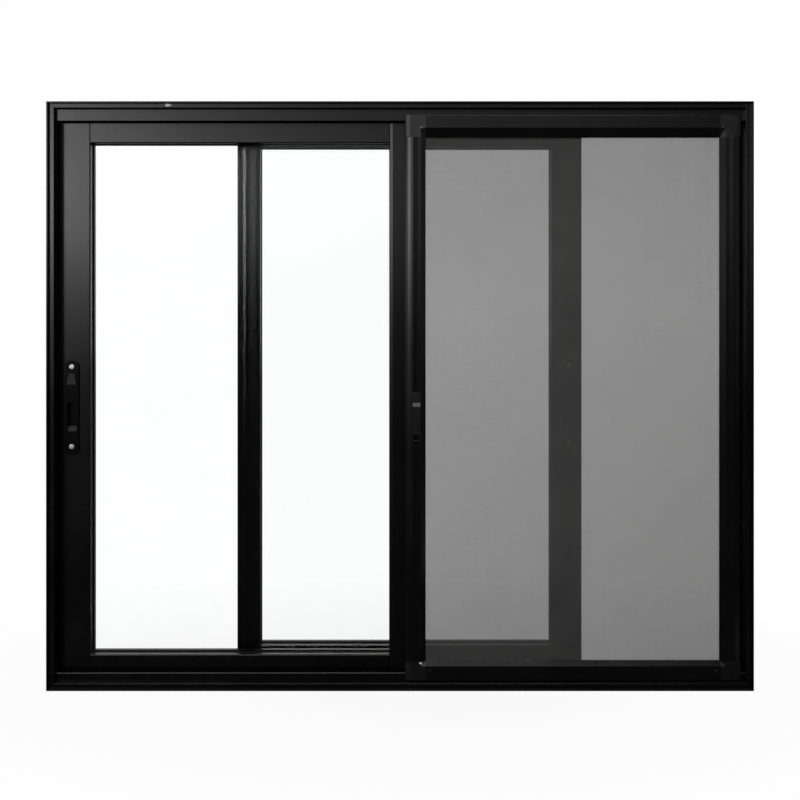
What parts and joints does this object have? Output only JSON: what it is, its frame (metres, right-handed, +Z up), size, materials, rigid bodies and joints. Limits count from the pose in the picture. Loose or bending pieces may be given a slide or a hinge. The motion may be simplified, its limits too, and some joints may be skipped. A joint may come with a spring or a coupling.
{
  "type": "aluminium sliding window",
  "caption": "Black three-track aluminium sliding window with two glass sashes, finger-pull locks and an insect screen.",
  "frame": {"origin": "middle of the sill's underside, at mid-depth of the frame", "axes": "+X to the right seen from the lock side, +Y away from that viewer, +Z up"},
  "size_m": [1.2, 0.105, 1],
  "materials": {
    "black_coat": "satin black powder coat on aluminium",
    "screen_coat": "satin black powder coat on aluminium",
    "lock_coat": "semi-gloss black coat on die-cast metal",
    "corner_plastic": "moulded black plastic",
    "roller_plastic": "moulded nylon",
    "gasket_rubber": "matt black rubber",
    "pile": "dark grey brush pile",
    "mesh_wire": "fine dark woven wire",
    "glass": "clear float glass"
  },
  "bodies": {
    "root": {"head_track": "black_coat", "sill_track": "black_coat", "left_jamb": "black_coat", "right_jamb": "black_coat", "front_sash_lock_stile": "black_coat", "front_sash_interlock_stile": "black_coat", "front_sash_top_rail": "black_coat", "front_sash_bottom_rail": "black_coat", "front_sash_glass": "glass", "front_sash_gasket": "gasket_rubber", "front_sash_weather_strip": "pile", "front_sash_roller_housings": "roller_plastic", "front_sash_roller_wheels": "roller_plastic", "front_sash_lock_body": "lock_coat", "front_sash_lock_slider": "lock_coat", "rear_sash_lock_stile": "black_coat", "rear_sash_interlock_stile": "black_coat", "rear_sash_top_rail": "black_coat", "rear_sash_bottom_rail": "black_coat", "rear_sash_glass": "glass", "rear_sash_gasket": "gasket_rubber", "rear_sash_weather_strip": "pile", "rear_sash_roller_housings": "roller_plastic", "rear_sash_roller_wheels": "roller_plastic", "rear_sash_lock_body": "lock_coat", "rear_sash_lock_slider": "lock_coat", "screen_left_stile": "screen_coat", "screen_right_stile": "screen_coat", "screen_top_rail": "screen_coat", "screen_bottom_rail": "screen_coat", "screen_lower_left_corner": "corner_plastic", "screen_lower_right_corner": "corner_plastic", "screen_upper_left_corner": "corner_plastic", "screen_upper_right_corner": "corner_plastic", "screen_mesh": "mesh_wire", "screen_spline": "gasket_rubber", "screen_guides": "roller_plastic", "screen_pull": "corner_plastic"}
  },
  "joints": []
}
